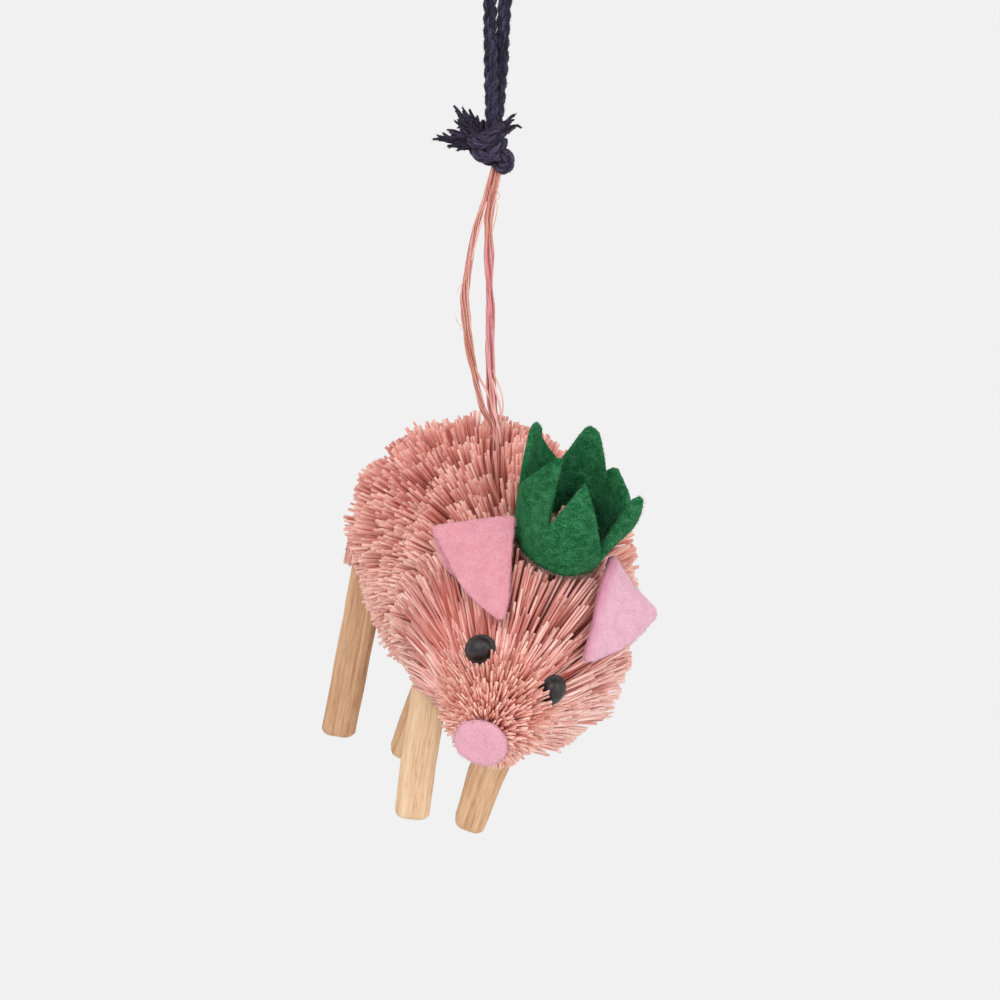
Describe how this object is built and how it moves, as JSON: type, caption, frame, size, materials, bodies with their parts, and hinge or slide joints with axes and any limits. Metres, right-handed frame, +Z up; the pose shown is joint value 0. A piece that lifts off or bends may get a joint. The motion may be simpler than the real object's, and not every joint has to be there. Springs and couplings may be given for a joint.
{
  "type": "bristle pig ornament",
  "caption": "Hanging ornament of a pig: a twisted-wire bristle body and head with wooden legs, felt ears, nose and crown, on a raffia loop knotted into a cotton rope.",
  "frame": {"origin": "inside crest of the rope loop's bight, where a hook bears; the ornament hangs below it", "axes": "+Z up along the hanging loop; +Y away from a viewer who sees the pig's face; +X to that viewer's right"},
  "size_m": [0.0833, 0.1092, 0.2325],
  "materials": {
    "bristle_fibre": "matte",
    "leg_wood": "matte",
    "pink_felt": "matte",
    "green_felt": "matte",
    "glue": "gloss",
    "eye_plastic": "gloss",
    "wire_steel": "satin",
    "raffia": "matte",
    "rope_cotton": "matte"
  },
  "bodies": {
    "hanger": {"rope_loop": "rope_cotton"},
    "knot": {"rope_knot": "rope_cotton", "rope_end_left": "rope_cotton", "rope_end_right": "rope_cotton"},
    "raffia": {"raffia_loop": "raffia"},
    "pig": {"bristles_rump": "bristle_fibre", "bristles_middle": "bristle_fibre", "bristles_shoulder": "bristle_fibre", "bristles_head": "bristle_fibre", "bristles_snout": "bristle_fibre", "leg_front_right": "leg_wood", "leg_front_left": "leg_wood", "leg_rear_right": "leg_wood", "leg_rear_left": "leg_wood", "ear_right": "pink_felt", "ear_left": "pink_felt", "crown": "green_felt", "crown_glue": "glue", "nose": "pink_felt", "eye_right": "eye_plastic", "eye_left": "eye_plastic", "spine_wire_a": "wire_steel", "spine_wire_b": "wire_steel", "raffia_tie": "raffia"}
  },
  "joints": [
    {"name": "knot_swing", "type": "hinge", "parent": "hanger", "child": "knot", "pos_m": [-0.00275, 0, -0.057], "axis": [1, 0, 0], "range_deg": [-20, 20]},
    {"name": "raffia_swing", "type": "hinge", "parent": "knot", "child": "raffia", "pos_m": [0.00025, 0, -0.06], "axis": [0, 1, 0], "range_deg": [-20, 20]},
    {"name": "pig_turn", "type": "hinge", "parent": "raffia", "child": "pig", "pos_m": [-0.00075, 0, -0.1266], "axis": [0, 0, 1], "range_deg": [-90, 90]}
  ]
}
